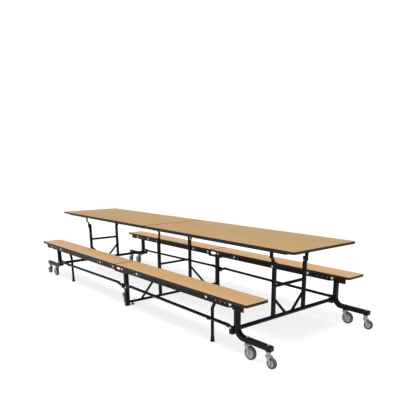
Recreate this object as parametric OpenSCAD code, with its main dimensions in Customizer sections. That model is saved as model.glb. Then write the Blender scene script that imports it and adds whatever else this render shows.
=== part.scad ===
// Mobile folding cafeteria table with two attached benches, shown open for use.
// X runs along the table, Y across it, Z up. The origin is on the floor under the middle.
// The table, the benches and the stretchers are links of one length, so the end frames
// stay upright and roll together while the centre frame rises and both halves stand on end.

/* [Table top] */
// Length of one table half
top_len = 1829; // [1400:1:1830]
// Width of the table top
top_w = 711; // [600:1:760]
// Height of the table surface
top_h = 737; // [720:1:780]
// Thickness of the table board
top_t = 19; // [16:0.5:25]
// Corner radius at the outer ends of the table
top_corner = 24; // [8:1:60]
// Gap between the two halves at the seam
seam_gap = 10; // [2:0.5:12]
// Thickness of the black edge band
band_t = 4; // [2:0.5:5]
// Depth of the steel rails under the table
rail_h = 16; // [12:1:30]
// Width of the steel rails under the table
rail_w = 38; // [25:1:50]
// Distance from the table end to the end of its side rails
rail_back = 100; // [60:1:200]

/* [Benches] */
// Length of one bench half
seat_len = 1722; // [1690:1:1730]
// Width of a seat board
seat_w = 214; // [200:1:224]
// Height of the seat surface
seat_h = 417; // [412:1:440]
// Thickness of a seat board
seat_t = 19; // [16:0.5:19]
// Corner radius at the outer ends of a seat
seat_corner = 16; // [6:1:40]
// Distance from the table's middle to a bench's centre line
bench_y = 570; // [560:1:640]
// Depth of the steel channels under a seat
channel_h = 48; // [44:1:49]
// Distance between the outer faces of a bench's two channels
channel_span = 150; // [146:1:160]
// Wall of the bench channels
channel_t = 2.5; // [2:0.1:3]
// Distance from the seam to the inner end of a channel
channel_start = 48; // [35:1:60]
// Distance from the seat's end to the outer end of a channel
channel_back = 77; // [60:1:85]

/* [Folding links] */
// Length of every folding link between its two pivots
link_len = 1453; // [1350:1:1455]
// Distance from the middle to a bench's centre pivot
bench_pin_x = 83; // [82:1:90]
// Distance from a seat board down to the bench pivots
bench_pin_drop = 18; // [17:1:20]
// Distance from the middle to the centre pivots of the stretchers
inner_pin_x = 37; // [36:1:38]
// Distance from the middle to the centre pivots of the table
table_pin_x = 47; // [45:1:49]
// Height of the stretcher pivots
stretcher_pin_z = 190; // [185:1:195]
// Distance from the table board down to the table pivots
table_pin_drop = 148; // [140:1:156]
// Diameter of the pivot bolts
pin_d = 10; // [8:1:11]
// Radial clearance between a pivot bolt and what turns on it
pin_fit = 0.06; // [0.02:0.01:0.1]

/* [Stretchers and prop legs] */
// Diameter of a stretcher tube
stretcher_d = 25; // [20:1:25]
// How far a stretcher's tube starts above its centre pivot
stretcher_jog = 18; // [14:1:20]
// How far a stretcher's tube ends above its pivot on the end frame
stretcher_drop = 4; // [2:0.5:5]
// Distance from the centre pivot to the start of the stretcher's round tube
stretcher_lug = 62; // [58:1:80]
// Distance from the middle to a prop leg's tube
prop_x = 1235; // [1100:1:1260]
// Diameter of a prop leg's tube
prop_d = 25; // [20:1:25]
// Height of a prop leg's lower bend
prop_bend_z = 262; // [250:1:280]
// Bend radius of a prop leg's tube
prop_bend = 40; // [30:1:50]

/* [End frames] */
// Size of the square leg tube
leg_size = 38; // [36:1:38]
// Distance from a bench's end pivot in to its leg
leg_offset = 7; // [6:1:8]
// Height of the centre of a leg's foot arm
arm_z = 135; // [130:1:140]
// Bend radius at the centre of a leg tube
leg_bend = 70; // [60:1:72]
// Distance from a leg to the end of its foot arm
arm_len = 332; // [330:1:400]
// Diameter of the beam between the legs
beam_d = 32; // [25:1:34]
// Height of the beam between the legs
beam_z = 176; // [170:1:182]
// Size of the square tube of the uprights
upright_size = 25; // [20:1:25]
// Distance from the middle to an end frame's uprights
upright_y = 175; // [170:1:178]
// Height of the rail between the uprights of an end frame
end_rail_z = 417; // [400:1:460]
// Diameter of the brace tubes
brace_d = 22; // [16:1:25]

/* [Centre frame] */
// Size of a centre post
post_size = 38; // [34:1:38]
// Distance from a bench's centre line in to a centre post's centre line
post_offset = 10; // [10:1:12]
// Distance from the middle to the centre frame's uprights
centre_upright_y = 187; // [186:1:188]
// Height of the cross tube near the floor
cross_tube_z = 32; // [30:1:45]
// Height of the rail between the centre uprights
centre_rail_z = 348; // [320:1:380]

/* [Casters] */
// Diameter of the inner casters' wheels
big_wheel_d = 97; // [80:1:98]
// Diameter of the outer casters' wheels
small_wheel_d = 76; // [70:1:89]
// Width of a caster tyre
tyre_w = 28; // [20:1:32]
// Distance from a leg to the stem of its inner caster
big_stem_offset = 104; // [100:1:120]
// Distance from a leg to the stem of its outer caster
small_stem_offset = 300; // [280:1:310]
// Trail of a caster wheel behind its stem
trail = 30; // [20:1:34]

/* [Hidden] */
$fn = 48;
over = 1;
touch_fit = 0.05;

// Colours as the photograph shows them
laminate = "burlywood";
black_steel = "#26282b";
rubber_black = "#1c1c1e";
zinc = "silver";
tyre_grey = "dimgray";

// Heights and places that follow from the sizes above
top_under = top_h - top_t;
rail_under = top_under - rail_h;
seat_under = seat_h - seat_t;
channel_under = seat_under - channel_h;
bench_pin_z = seat_under - bench_pin_drop;
table_pin_z = top_under - table_pin_drop;
post_y = bench_y - post_offset;
bench_end_x = bench_pin_x + link_len;
inner_end_x = inner_pin_x + link_len;
leg_x = bench_end_x - leg_offset;
truss_x = table_pin_x + link_len;
arm_end = leg_x + arm_len;
big_stem_x = leg_x + big_stem_offset;
small_stem_x = leg_x + small_stem_offset;
pin_r = pin_d / 2;
pivot_r = pin_r + pin_fit;
head_over = 3;
head_r = pin_r + head_over;
head_t = 5;
spacer_r = pin_r + 2 * head_over / 3;

// Table rails and brackets
rail_wall = 2;
rail_inset = 36;
rail_seam = 14;
cross_rail_gap = 12;
bracket_w = 30;
bracket_t = 8;
bracket_step = 18;
bracket_kink_low = 50;
bracket_kink_high = 72;
foot_plate = 60;
foot_plate_t = 4;
cross_rail_x = [
    rail_seam, (rail_seam + truss_x) / 2,
    truss_x - foot_plate / 2 - rail_w - cross_rail_gap
];
arm_w = 25;
arm_lean = 30;
arm_knee = 45;
arm_rise = 70;
arm_bend = 40;
arm_angle = 75;
arm_reach = 147;

// Bench channels, end plates and rivets
flange_w = 26;
lip_w = 14;
end_plate_in = 24;
end_plate_out = 134;
end_plate_t = 3;
taper_back = 30;
taper_tip = 25;
taper_h = 26;
first_bolt_x = 340;
cross_bolt_x = [first_bolt_x, prop_x + bench_pin_x - inner_pin_x];
big_head_r = 13;
big_head_t = 4;
rivet_r = 4;
rivet_t = 2.5;
rivet_gap = 50;

// Stretchers
lug_w = 24;
lug_t = 8;
lug_out = 4;
end_lug = 30;
hanger_w = 24;
prop_gap = 7;

// Prop legs
prop_rise = 83;
prop_foot_d = 35;
prop_foot_h = 42;
knuckle_over = 0.5;
bend_over = 0.3;
prop_step = bench_pin_x - inner_pin_x;
prop_lean = atan(prop_step / prop_rise);

// End frames
leg_corner = 6;
leg_wall = 2.5;
leg_over = 11;
leg_top_z = bench_pin_z + leg_over;
bush_r = 9;
cap_len = 8;
knee_t = 3;
knee_in = leg_size / 2;
knee_out = 28;
knee_below = 47;
knee_above = 18;
knee_back = 15;
knee_low = stretcher_pin_z - knee_below;
knee_high = stretcher_pin_z + knee_above;
knee_start = inner_end_x - knee_back;
ear_t = 4;
ear_gap = 1;
upright_over = 30;
brace_rise = 149;
brace_top = beam_z + brace_rise;
brace_foot_y = 30;
stem_r = 6;
nut_r = 10;
nut_t = 7;
raceway_r = 17;

// Centre frame
saddle_t = 4;
saddle_drop = 50;
saddle_z = bench_pin_z - saddle_drop;
saddle_half = 53;
saddle_reach = 96;
saddle_plate_t = 3;
saddle_round = 14;
notch_half = 52;
notch_drop = 25;
notch_z = bench_pin_z - notch_drop;
notch_shoulder = 67;
pivot_plate_half = 50;
pivot_plate_h = 25;
centre_brace_rise = 248;
centre_brace_top = cross_tube_z + centre_brace_rise;
centre_brace_in = 150;
centre_brace_y = post_y - centre_brace_in;
glide_in = 55;
glide_y = post_y - glide_in;
glide_r = 17;
glide_h = 8;
post_foot_h = 12;
strap_t = 3;
strap_w = 22;
strap_r = 150;
strap_reach = 43;
strap_angle = 36;
stretcher_y = post_y + post_size / 2 + ear_t + ear_gap - lug_out;
prop_y = stretcher_y - stretcher_d / 2 - prop_gap - prop_d / 2;

// Casters
fork_t = 3;
fork_gap = 2;
hub_gap = 1;
axle_r = 4;
fork_end_r = 10;
crown_gap = 4;
crown_t = 4;
tyre_t = 14;
swivel_gap = 0.3;

// Mirrored copies for the left half and for the near side
module on_half(left) {
    if (left) mirror([1, 0, 0]) children();
    else children();
}

module on_side(near) {
    if (near) mirror([0, 1, 0]) children();
    else children();
}

module both_sides() {
    children();
    mirror([0, 1, 0]) children();
}

// A bolt along Y from one distance to another
module cross_bolt(x, z, y0, y1, r) {
    translate([x, y0, z]) rotate([-90, 0, 0]) cylinder(h = y1 - y0, r = r);
}

// A round tube between two points
module round_tube(a, b, d) {
    v = b - a;
    length = norm(v);
    translate(a) rotate([0, acos(v[2] / length), atan2(v[1], v[0])]) cylinder(h = length, d = d);
}

module rounded_square(size, corner) {
    square([size, size - 2 * corner], center = true);
    square([size - 2 * corner, size], center = true);
    for (x = [-1, 1], y = [-1, 1])
        translate([x * (size / 2 - corner), y * (size / 2 - corner)]) circle(corner);
}

module tube_section(size, corner, wall) {
    difference() {
        rounded_square(size, corner);
        rounded_square(size - 2 * wall, corner - wall);
    }
}

// Plan of a board: square at the seam, rounded at its outer end
module board_plan(length, width, corner, inset) {
    start = seam_gap / 2 + inset;
    half = width / 2 - inset;
    translate([start, -half]) square([length - corner - start, 2 * half]);
    translate([start, -half - inset + corner])
        square([length - inset - start, 2 * (half + inset - corner)]);
    for (y = [-1, 1])
        translate([length - corner, y * (width / 2 - corner)]) circle(corner - inset);
}

module board(length, width, corner, top, thickness) {
    translate([0, 0, top - thickness])
        linear_extrude(thickness) board_plan(length, width, corner, band_t + touch_fit);
}

module edge_band(length, width, corner, top, thickness) {
    translate([0, 0, top - thickness])
        linear_extrude(thickness)
            difference() {
                board_plan(length, width, corner, 0);
                board_plan(length, width, corner, band_t);
            }
}

// Table

module table_top(left) {
    color(laminate) on_half(left) board(top_len, top_w, top_corner, top_h, top_t);
}

module table_edge(left) {
    color(black_steel) on_half(left) edge_band(top_len, top_w, top_corner, top_h, top_t);
}

module side_rail() {
    length = top_len - rail_back - rail_seam;
    face = top_w / 2 - rail_inset;
    translate([rail_seam, face - rail_w, rail_under])
        difference() {
            cube([length, rail_w, rail_h]);
            translate([-over, rail_wall, rail_wall])
                cube([length + 2 * over, rail_w - 2 * rail_wall, rail_h - 2 * rail_wall]);
        }
}

module cross_rail(x) {
    half = top_w / 2 - rail_inset - rail_w;
    translate([x, -half, rail_under])
        difference() {
            cube([rail_w, 2 * half, rail_h]);
            translate([rail_wall, -over, rail_wall])
                cube([rail_w - 2 * rail_wall, 2 * (half + over), rail_h - 2 * rail_wall]);
        }
}

module table_rails(left) {
    color(black_steel) on_half(left) {
        both_sides() side_rail();
        for (x = cross_rail_x) cross_rail(x);
    }
}

// Flat bar that hangs from the table end and turns on the end frame's upright
module end_bracket() {
    lane = upright_y + upright_size / 2 + ear_gap;
    plate = lane + bracket_step;
    rise = top_under - table_pin_z;
    difference() {
        union() {
            translate([truss_x + bracket_w / 2, 0, table_pin_z])
                rotate([90, 0, -90])
                    linear_extrude(bracket_w)
                        polygon([
                            [-lane, 0], [-lane, bracket_kink_low],
                            [-plate, bracket_kink_high], [-plate, rise],
                            [-plate - bracket_t, rise],
                            [-plate - bracket_t, bracket_kink_high - bracket_t / 2],
                            [-lane - bracket_t, bracket_kink_low - bracket_t / 2],
                            [-lane - bracket_t, 0]
                        ]);
            cross_bolt(truss_x, table_pin_z, lane, lane + bracket_t, bracket_w / 2);
            translate([truss_x - foot_plate / 2, plate, top_under - foot_plate_t])
                cube([foot_plate, foot_plate, foot_plate_t]);
        }
        cross_bolt(truss_x, table_pin_z, lane - over, lane + bracket_t + over, pivot_r);
    }
}

// What stands outside a centre upright, brought to its inner side
module inside_upright() {
    translate([0, 2 * centre_upright_y, 0]) mirror([0, 1, 0]) children();
}

// Bent bar from the centre frame's upright to the underside of a table half
module centre_arm() {
    lane = centre_upright_y + upright_size / 2 + ear_t + ear_gap;
    half = arm_w / 2;
    foot = table_pin_z + arm_rise;
    steps = [0 : 6 : arm_angle];
    middle = arm_bend - arm_lean;
    tip_x = middle - arm_bend * cos(arm_angle) + arm_reach;
    outer = [for (a = steps) [middle - (arm_bend + half) * cos(a), (arm_bend + half) * sin(a)]];
    inner = [for (a = steps) [middle - (arm_bend - half) * cos(a), (arm_bend - half) * sin(a)]];
    rise = top_under - foot;
    difference() {
        union() {
            translate([table_pin_x, lane + bracket_t, foot])
                rotate([90, 0, 0])
                    linear_extrude(bracket_t)
                        polygon(concat(
                            [[-half, -arm_rise], [-half - arm_lean, arm_knee - arm_rise]], outer,
                            [[tip_x - arm_w, rise], [tip_x + arm_w, rise]],
                            [for (i = [len(inner) - 1 : -1 : 0]) inner[i]],
                            [[half - arm_lean, arm_knee - arm_rise], [half, -arm_rise]]
                        ));
            cross_bolt(table_pin_x, table_pin_z, lane, lane + bracket_t, half);
            translate([table_pin_x + tip_x - arm_w, lane, top_under - foot_plate_t])
                cube([2 * arm_w, foot_plate, foot_plate_t]);
        }
        cross_bolt(table_pin_x, table_pin_z, lane - over, lane + bracket_t + over, pivot_r);
    }
}

module table_brackets(left) {
    color(black_steel) on_half(left) {
        both_sides() end_bracket();
        on_side(left) inside_upright() centre_arm();
    }
}

// Benches

module at_bench(left, near) {
    on_half(left) on_side(near) translate([0, bench_y, 0]) children();
}

module seat(left, near) {
    color(laminate) at_bench(left, near) board(seat_len, seat_w, seat_corner, seat_h, seat_t);
}

module seat_edge(left, near) {
    color(black_steel) at_bench(left, near)
        edge_band(seat_len, seat_w, seat_corner, seat_h, seat_t);
}

// One channel of a bench with its web outside, tapered at its outer end, and its flanges turned in
module bench_channel() {
    face = channel_span / 2;
    end = seat_len - channel_back;
    taper = bench_end_x - taper_back;
    difference() {
        union() {
            translate([0, face, 0])
                rotate([90, 0, 0])
                    linear_extrude(channel_t)
                        polygon([
                            [channel_start, channel_under], [taper, channel_under],
                            [end - taper_tip, seat_under - taper_h], [end, seat_under - taper_h],
                            [end, seat_under], [channel_start, seat_under]
                        ]);
            translate([channel_start, face - flange_w, seat_under - channel_t])
                cube([end - channel_start, flange_w, channel_t]);
            translate([channel_start, face - lip_w, channel_under])
                cube([taper - channel_start, lip_w, channel_t]);
        }
        for (x = concat([bench_pin_x, bench_end_x], cross_bolt_x))
            cross_bolt(x, bench_pin_z, face - channel_t - over, face + over, pin_r + touch_fit);
    }
}

// Plate on the outer face of one channel's end, as deep as the channel
module end_plate() {
    translate([bench_end_x + end_plate_in, channel_span / 2, channel_under])
        cube([end_plate_out - end_plate_in, end_plate_t, channel_h]);
}

module channels(left, near) {
    color(black_steel) at_bench(left, near) {
        both_sides() bench_channel();
        on_side(!near) end_plate();
    }
}

// Bolts through both channels, with large washer heads, and the rivets beside them
module bench_bolt(x) {
    reach = channel_span / 2;
    cross_bolt(x, bench_pin_z, -reach - touch_fit, reach + touch_fit, pin_r);
    both_sides()
        cross_bolt(x, bench_pin_z, reach + touch_fit, reach + big_head_t, big_head_r);
}

module rivet(x) {
    face = channel_span / 2 + touch_fit;
    both_sides() cross_bolt(x, bench_pin_z - rivet_r, face, face + rivet_t, rivet_r);
}

module bench_bolts(left, near) {
    color(zinc) at_bench(left, near) {
        for (x = concat([bench_pin_x, bench_end_x], cross_bolt_x)) bench_bolt(x);
        for (i = [-1, 1]) rivet(cross_bolt_x[0] + i * rivet_gap);
        for (i = [1 : 3]) rivet(bench_end_x - i * rivet_gap);
    }
}

// Stretchers

// Flat end of a stretcher, stepped from its pivot up to the tube, at a local X of zero
module stretcher_end(lug, jog) {
    half = lug_w / 2;
    translate([0, stretcher_y + lug_out + lug_t, stretcher_pin_z])
        rotate([90, 0, 0])
            linear_extrude(lug_t)
                polygon([
                    [0, -half], [half, -half], [lug, jog - half],
                    [lug + lug_w, jog - half], [lug + lug_w, jog + half],
                    [lug - half, jog + half], [0, half]
                ]);
    cross_bolt(0, stretcher_pin_z, stretcher_y + lug_out, stretcher_y + lug_out + lug_t, half);
}

module stretcher_hole(x) {
    cross_bolt(x, stretcher_pin_z, stretcher_y - hanger_w, stretcher_y + hanger_w, pivot_r);
}

// Lug under a near stretcher that a prop leg's stud turns in
module prop_hanger() {
    cross_bolt(prop_x, stretcher_pin_z, stretcher_y - lug_t / 2, stretcher_y + lug_t / 2,
               hanger_w / 2);
}

module stretcher(left, near) {
    color(black_steel) on_half(left) on_side(near)
        difference() {
            union() {
                round_tube([inner_pin_x + stretcher_lug, stretcher_y, stretcher_pin_z + stretcher_jog],
                           [inner_end_x - end_lug, stretcher_y, stretcher_pin_z + stretcher_drop],
                           stretcher_d);
                translate([inner_pin_x, 0, 0]) stretcher_end(stretcher_lug, stretcher_jog);
                translate([inner_end_x, 0, 0])
                    mirror([1, 0, 0]) stretcher_end(end_lug, stretcher_drop);
                if (near) prop_hanger();
            }
            stretcher_hole(inner_pin_x);
            stretcher_hole(inner_end_x);
            if (near) stretcher_hole(prop_x);
        }
}

// Prop legs of the near bench

// A bend of a prop leg's tube, a little swollen, between two angles from its local X
module prop_bow(start) {
    rotate([90, 0, 0]) rotate([0, 0, start])
        rotate_extrude(angle = prop_lean) translate([prop_bend, 0]) circle(d = prop_d + bend_over);
}

// Tube from its foot up, with two bends that step it out to its bench pivot
module prop_tube() {
    step = prop_bend * tan(prop_lean / 2);
    low = [prop_x, prop_y, prop_bend_z];
    high = [prop_x + prop_step, prop_y, prop_bend_z + prop_rise];
    way = [sin(prop_lean), 0, cos(prop_lean)];
    round_tube([prop_x, prop_y, prop_foot_h / 4], low - [0, 0, step - over], prop_d);
    translate(low + [prop_bend, 0, -step]) prop_bow(180 - prop_lean);
    round_tube(low + (step - over) * way, high - (step - over) * way, prop_d);
    translate(high + [-prop_bend, 0, step]) prop_bow(-prop_lean);
    round_tube(high + [0, 0, step - over], [high[0], prop_y, bench_pin_z], prop_d);
}

module prop_leg(left) {
    top_x = prop_x + prop_step;
    knuckle_r = prop_d / 2 + knuckle_over;
    stud_face = stretcher_y + stretcher_d / 2;
    color(black_steel) on_half(left) on_side(true)
        difference() {
            union() {
                prop_tube();
                cross_bolt(top_x, bench_pin_z, prop_y - knuckle_r, prop_y + knuckle_r, knuckle_r);
                cross_bolt(prop_x, stretcher_pin_z, prop_y, stud_face + head_t, pin_r);
                cross_bolt(prop_x, stretcher_pin_z, stud_face + 2 * touch_fit, stud_face + head_t,
                           spacer_r);
            }
            cross_bolt(top_x, bench_pin_z, prop_y - prop_d, prop_y + prop_d, pivot_r);
        }
}

module prop_foot(left) {
    color(rubber_black) on_half(left) on_side(true)
        translate([prop_x, prop_y, 0])
            difference() {
                union() {
                    cylinder(h = prop_foot_h / 4, d = prop_foot_d);
                    translate([0, 0, prop_foot_h / 4])
                        cylinder(h = 3 * prop_foot_h / 4, d1 = prop_foot_d,
                                 d2 = prop_d + 2 * rail_wall);
                }
                translate([0, 0, prop_foot_h / 4 - touch_fit])
                    cylinder(h = prop_foot_h, d = prop_d + 2 * touch_fit);
            }
}

// End frames

// Beam, uprights, rail and braces of an end frame, bored for the table pivots
module end_truss(left) {
    knee_face = bench_y - knee_in - touch_fit;
    color(black_steel) on_half(left) {
        round_tube([truss_x, -knee_face, beam_z], [truss_x, knee_face, beam_z], beam_d);
        both_sides()
            difference() {
                translate([truss_x, upright_y, beam_z])
                    linear_extrude(table_pin_z + upright_over - beam_z)
                        square(upright_size, center = true);
                cross_bolt(truss_x, table_pin_z, upright_y - upright_size, upright_y + upright_size,
                           pin_r + touch_fit);
            }
        round_tube([truss_x, -upright_y, end_rail_z], [truss_x, upright_y, end_rail_z],
                   upright_size);
        both_sides()
            round_tube([truss_x, upright_y, brace_top], [truss_x, brace_foot_y, beam_z], brace_d);
    }
}

module leg_profile() {
    tube_section(leg_size, leg_corner, leg_wall);
}

// Leg tube, bent out to its foot arm, with the bench pivot's bush and the knee bracket
module leg() {
    straight = arm_z + leg_bend;
    difference() {
        union() {
            translate([leg_x, bench_y, straight])
                linear_extrude(leg_top_z - straight - leg_wall) leg_profile();
            translate([leg_x, bench_y, leg_top_z - leg_wall])
                linear_extrude(leg_wall) rounded_square(leg_size, leg_corner);
            translate([leg_x + leg_bend, bench_y, straight])
                rotate([-90, 0, 0]) rotate([0, 0, 90])
                    rotate_extrude(angle = 90) translate([leg_bend, 0]) leg_profile();
            translate([leg_x + leg_bend, bench_y, arm_z])
                rotate([0, 90, 0])
                    linear_extrude(arm_end - cap_len - leg_x - leg_bend) leg_profile();
            cross_bolt(bench_end_x, bench_pin_z, bench_y - leg_size / 2 + over,
                       bench_y + leg_size / 2 - over, bush_r);
            knee_bracket();
        }
        cross_bolt(bench_end_x, bench_pin_z, bench_y - leg_size, bench_y + leg_size, pivot_r);
        for (x = [big_stem_x, small_stem_x])
            translate([x, bench_y, arm_z - leg_size])
                cylinder(h = 2 * leg_size, r = stem_r + touch_fit);
    }
}

// Open box on the leg's inner face that holds a stretcher's pin
module knee_bracket() {
    back = leg_x - leg_size / 2 + leg_wall / 2;
    for (y = [-knee_in, knee_out - knee_t])
        difference() {
            translate([knee_start, bench_y + y, knee_low])
                cube([back - knee_start, knee_t, knee_high - knee_low]);
            cross_bolt(inner_end_x, stretcher_pin_z, bench_y + y - over, bench_y + y + knee_t + over,
                       pin_r + touch_fit);
        }
    translate([back - knee_t, bench_y - knee_in, knee_low])
        cube([knee_t, knee_in + knee_out, knee_high - knee_low]);
}

module legs(left) {
    color(black_steel) on_half(left) both_sides() leg();
}

// Plastic cap in the end of a foot arm
module arm_cap() {
    translate([arm_end - cap_len, bench_y, arm_z])
        rotate([0, 90, 0]) {
            linear_extrude(cap_len / 2) rounded_square(leg_size, leg_corner);
            linear_extrude(cap_len) rounded_square(leg_size - leg_corner, leg_corner);
        }
}

module arm_caps(left) {
    color(rubber_black) on_half(left) both_sides() arm_cap();
}

// Caster stems with their nuts, stretcher pins and table pivot bolts
module caster_stem(x) {
    translate([x, bench_y, arm_z - leg_size / 2 - nut_t])
        cylinder(h = leg_size + 2 * nut_t, r = stem_r);
    translate([x, bench_y, arm_z + leg_size / 2 + touch_fit]) cylinder(h = nut_t, r = nut_r);
}

module stretcher_pin() {
    inner = bench_y - knee_in + touch_fit;
    outer = bench_y + knee_out;
    cross_bolt(inner_end_x, stretcher_pin_z, inner, outer + head_t, pin_r);
    cross_bolt(inner_end_x, stretcher_pin_z, outer + touch_fit, outer + head_t, head_r);
    cross_bolt(inner_end_x, stretcher_pin_z, bench_y - knee_in + knee_t + touch_fit,
               stretcher_y + lug_out - pin_fit, head_r);
}

module table_pin(x, inner, outer) {
    cross_bolt(x, table_pin_z, inner - head_t, outer + head_t, pin_r);
    cross_bolt(x, table_pin_z, inner - head_t, inner - touch_fit, spacer_r);
    cross_bolt(x, table_pin_z, outer + touch_fit, outer + head_t, head_r);
}

module end_hardware(left) {
    color(zinc) on_half(left) both_sides() {
        caster_stem(big_stem_x);
        caster_stem(small_stem_x);
        stretcher_pin();
        table_pin(truss_x, upright_y - upright_size / 2,
                  upright_y + upright_size / 2 + ear_gap + bracket_t);
    }
}

// Centre frame

module centre_truss() {
    post_face = post_y - post_size / 2 - touch_fit;
    ear_y = centre_upright_y + upright_size / 2;
    color(black_steel) {
        round_tube([0, -post_face, cross_tube_z], [0, post_face, cross_tube_z], upright_size);
        both_sides()
            translate([0, centre_upright_y, cross_tube_z])
                linear_extrude(table_pin_z + upright_over - cross_tube_z)
                    square(upright_size, center = true);
        round_tube([0, -centre_upright_y, centre_rail_z], [0, centre_upright_y, centre_rail_z],
                   brace_d);
        both_sides()
            round_tube([0, centre_upright_y, centre_brace_top], [0, centre_brace_y, cross_tube_z],
                       brace_d);
        for (left = [true, false])
            on_half(left) on_side(left) inside_upright()
                difference() {
                    union() {
                        cross_bolt(table_pin_x, table_pin_z, ear_y - touch_fit, ear_y + ear_t,
                                   arm_w / 2);
                        translate([-upright_size / 2, ear_y - touch_fit, table_pin_z - arm_w / 2])
                            cube([table_pin_x + upright_size / 2, ear_t + touch_fit, arm_w]);
                    }
                    cross_bolt(table_pin_x, table_pin_z, ear_y - over, ear_y + ear_t + over,
                               pin_r + touch_fit);
                }
    }
}

// Side of the saddle on a post: a plate with a wide notch between its two pivots
module saddle_plate() {
    difference() {
        union() {
            for (x = [-1, 1])
                translate([x * bench_pin_x, bench_pin_z]) circle(saddle_round);
            polygon([
                [-saddle_reach, saddle_z], [saddle_reach, saddle_z],
                [bench_pin_x + saddle_round, saddle_z + saddle_round],
                [bench_pin_x + saddle_round, bench_pin_z], [bench_pin_x, bench_pin_z + saddle_round],
                [notch_shoulder, bench_pin_z + saddle_round], [notch_half, notch_z],
                [-notch_half, notch_z], [-notch_shoulder, bench_pin_z + saddle_round],
                [-bench_pin_x, bench_pin_z + saddle_round], [-bench_pin_x - saddle_round, bench_pin_z],
                [-bench_pin_x - saddle_round, saddle_z + saddle_round]
            ]);
        }
        for (x = [-1, 1]) translate([x * bench_pin_x, bench_pin_z]) circle(pivot_r);
    }
}

module post() {
    translate([0, post_y, post_foot_h])
        linear_extrude(saddle_z - post_foot_h) tube_section(post_size, leg_corner, leg_wall);
    translate([-saddle_reach, bench_y - saddle_half, saddle_z])
        cube([2 * saddle_reach, 2 * saddle_half, saddle_t]);
    for (y = [-saddle_half + saddle_plate_t, saddle_half])
        translate([0, bench_y + y, 0])
            rotate([90, 0, 0]) linear_extrude(saddle_plate_t) saddle_plate();
    difference() {
        translate([-pivot_plate_half, post_y + post_size / 2, stretcher_pin_z - pivot_plate_h])
            cube([2 * pivot_plate_half, ear_t, 2 * pivot_plate_h]);
        for (x = [-1, 1])
            cross_bolt(x * inner_pin_x, stretcher_pin_z, post_y + post_size / 2 - over,
                       post_y + post_size / 2 + ear_t + over, pin_r + touch_fit);
    }
}

module centre_posts() {
    color(black_steel) both_sides() post();
}

// Plastic plugs in the posts' lower ends and screw glides beside them
module centre_feet() {
    color(rubber_black) both_sides() {
        translate([0, post_y, 0])
            linear_extrude(post_foot_h - touch_fit) rounded_square(post_size + 2 * rail_wall, leg_corner);
        translate([0, glide_y, 0]) {
            cylinder(h = glide_h, r = glide_r);
            cylinder(h = cross_tube_z - upright_size / 2 - touch_fit, r = stem_r);
        }
    }
}

module centre_pin(x) {
    face = post_y + post_size / 2;
    far = stretcher_y + lug_out + lug_t;
    cross_bolt(x, stretcher_pin_z, face + touch_fit, far + head_t, pin_r);
    cross_bolt(x, stretcher_pin_z, far + touch_fit, far + head_t, head_r);
}

// Curved grey strap that stands on the left of the near post's foot
module foot_strap() {
    left_face = -post_size / 2 - touch_fit;
    lane = post_y - post_size / 2;
    translate([left_face - strap_reach, lane, post_foot_h + strap_t])
        cube([strap_reach, strap_w, strap_t]);
    translate([left_face - strap_reach - strap_r, lane + strap_w, post_foot_h + strap_t])
        rotate([90, 0, 0])
            rotate_extrude(angle = strap_angle) translate([strap_r, 0]) square([strap_t, strap_w]);
}

module centre_hardware() {
    ear_face = centre_upright_y + upright_size / 2;
    color(zinc) {
        both_sides()
            for (x = [-1, 1]) centre_pin(x * inner_pin_x);
        on_side(true) foot_strap();
        for (left = [true, false])
            on_half(left) on_side(left) inside_upright()
                table_pin(table_pin_x, ear_face, ear_face + ear_t + ear_gap + bracket_t);
    }
}

// Casters

module at_caster(left, near, x) {
    on_half(left) on_side(near) translate([x, bench_y, 0]) children();
}

// Fork, axle and raceway of a caster, with its stem on the local Z axis
module fork(wheel_d) {
    top = arm_z - leg_size / 2 - swivel_gap;
    half = tyre_w / 2 + fork_gap;
    crown = wheel_d + crown_gap;
    r = wheel_d / 2;
    difference() {
        union() {
            for (y = [-half - fork_t, half])
                translate([0, y + fork_t, 0])
                    rotate([90, 0, 0])
                        linear_extrude(fork_t) {
                            polygon([
                                [-raceway_r, crown + crown_t], [raceway_r, crown + crown_t],
                                [trail + fork_end_r, r], [trail - fork_end_r, r]
                            ]);
                            translate([trail, r]) circle(fork_end_r);
                        }
            translate([-raceway_r, -half - fork_t, crown])
                cube([2 * raceway_r, 2 * (half + fork_t), crown_t]);
            translate([0, 0, crown]) cylinder(h = top - crown - crown_t, r = raceway_r);
            translate([0, 0, crown]) cylinder(h = top - crown, r = stem_r + 2 * fork_t);
        }
        translate([0, 0, arm_z - leg_size / 2 - nut_t - swivel_gap])
            cylinder(h = leg_size, r = stem_r + pin_fit);
    }
    cross_bolt(trail, r, -half - fork_t - head_t, half + fork_t + head_t, axle_r);
    for (y = [-half - fork_t - head_t, half + fork_t])
        cross_bolt(trail, r, y, y + head_t, axle_r + 3);
}

module caster_fork(left, near, x, wheel_d) {
    color(zinc) at_caster(left, near, x) fork(wheel_d);
}

// Wheel with a rounded tyre on a hub, bored for its axle
module wheel(wheel_d) {
    r = wheel_d / 2;
    round_r = tyre_w / 4;
    translate([trail, 0, r])
        rotate([90, 0, 0])
            rotate_extrude() {
                translate([r - tyre_t, -tyre_w / 2]) square([tyre_t - round_r, tyre_w]);
                translate([r - tyre_t, round_r - tyre_w / 2])
                    square([tyre_t, tyre_w - 2 * round_r]);
                for (y = [-1, 1])
                    translate([r - round_r, y * (tyre_w / 2 - round_r)]) circle(round_r);
                translate([axle_r + pin_fit, hub_gap - tyre_w / 2])
                    square([r - tyre_t - axle_r - pin_fit - touch_fit, tyre_w - 2 * hub_gap]);
            }
}

module caster_wheel(left, near, x, wheel_d) {
    color(tyre_grey) at_caster(left, near, x) wheel(wheel_d);
}

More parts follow.
